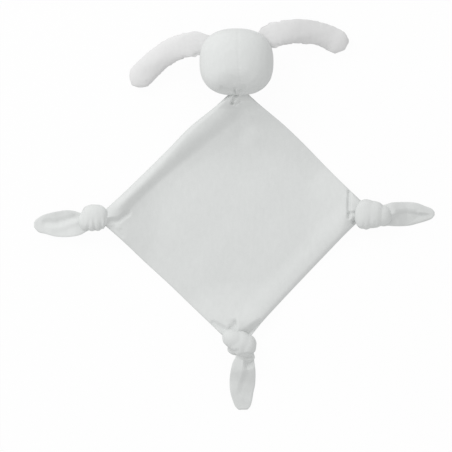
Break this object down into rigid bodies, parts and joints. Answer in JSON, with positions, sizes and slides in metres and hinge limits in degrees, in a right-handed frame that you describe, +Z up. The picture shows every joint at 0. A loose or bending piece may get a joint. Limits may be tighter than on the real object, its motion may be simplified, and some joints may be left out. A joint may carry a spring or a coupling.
{
  "type": "comfort blanket lovey",
  "caption": "Flat comfort blanket of double velour with a stuffed long-eared head at one corner and the other corners tied in knots.",
  "frame": {"origin": "on the surface that the toy lies on, under the middle of the cloth square", "axes": "+Z up from the surface, +Y from the middle of the cloth to the head, +X to the right seen from above"},
  "size_m": [0.4016, 0.3921, 0.0614],
  "materials": {
    "velour_cloth": "pale grey-white velour with a short soft nap",
    "ear_velour": "pale grey-white velour with a short soft nap",
    "fibre_filling": "loose white polyester fibre",
    "sewing_thread": "off-white polyester thread"
  },
  "bodies": {
    "blanket": {"blanket_top_layer_head_side": "velour_cloth", "blanket_under_layer_head_side": "velour_cloth", "neck_gather_thread": "sewing_thread"},
    "blanket_foot": {"blanket_top_layer_foot_side": "velour_cloth", "blanket_under_layer_foot_side": "velour_cloth"},
    "head": {"head_back_panel_left": "velour_cloth", "head_back_panel_right": "velour_cloth", "head_front_panel": "velour_cloth", "head_filling": "fibre_filling"},
    "ear_left": {"ear_left_top_panel": "ear_velour", "ear_left_under_panel": "ear_velour", "ear_left_filling": "fibre_filling"},
    "ear_right": {"ear_right_top_panel": "ear_velour", "ear_right_under_panel": "ear_velour", "ear_right_filling": "fibre_filling"},
    "knot_left": {"knot_left": "velour_cloth"},
    "knot_right": {"knot_right": "velour_cloth"},
    "knot_bottom": {"knot_bottom": "velour_cloth"},
    "tail_left": {"tail_left": "velour_cloth"},
    "tail_right": {"tail_right": "velour_cloth"},
    "tail_bottom": {"tail_bottom": "velour_cloth"}
  },
  "joints": [
    {"name": "blanket_fold", "type": "hinge", "parent": "blanket", "child": "blanket_foot", "pos_m": [0, -0.029, 0.0027], "axis": [-1, 0, 0], "range_deg": [0, 120]},
    {"name": "neck_nod", "type": "hinge", "parent": "blanket", "child": "head", "pos_m": [0.005, 0.11225, 0.02], "axis": [1, 0, 0], "range_deg": [-60, 90]},
    {"name": "ear_left_flap", "type": "hinge", "parent": "head", "child": "ear_left", "pos_m": [-0.03878, 0.17331, 0.0305], "axis": [0.4331, 0.9014, 0], "range_deg": [-40, 80]},
    {"name": "ear_right_flap", "type": "hinge", "parent": "head", "child": "ear_right", "pos_m": [0.03821, 0.18152, 0.0305], "axis": [0.6796, -0.7336, 0], "range_deg": [-40, 80]},
    {"name": "knot_left_lift", "type": "hinge", "parent": "blanket", "child": "knot_left", "pos_m": [-0.117, -0.004, 0.011], "axis": [0, 1, 0], "range_deg": [-60, 90]},
    {"name": "knot_right_lift", "type": "hinge", "parent": "blanket", "child": "knot_right", "pos_m": [0.11575, 0.0005, 0.011], "axis": [0, -1, 0], "range_deg": [-60, 90]},
    {"name": "knot_bottom_lift", "type": "hinge", "parent": "blanket_foot", "child": "knot_bottom", "pos_m": [0.005, -0.11205, 0.011], "axis": [-1, 0, 0], "range_deg": [-60, 90]},
    {"name": "tail_left_flap", "type": "hinge", "parent": "knot_left", "child": "tail_left", "pos_m": [-0.1628, -0.007, 0.011], "axis": [-0.1305, 0.9914, 0], "range_deg": [-60, 75]},
    {"name": "tail_right_flap", "type": "hinge", "parent": "knot_right", "child": "tail_right", "pos_m": [0.16025, 0.0005, 0.011], "axis": [0, -1, 0], "range_deg": [-60, 75]},
    {"name": "tail_bottom_flap", "type": "hinge", "parent": "knot_bottom", "child": "tail_bottom", "pos_m": [0.00694, -0.15646, 0.011], "axis": [-0.9962, -0.0872, 0], "range_deg": [-60, 75]}
  ]
}
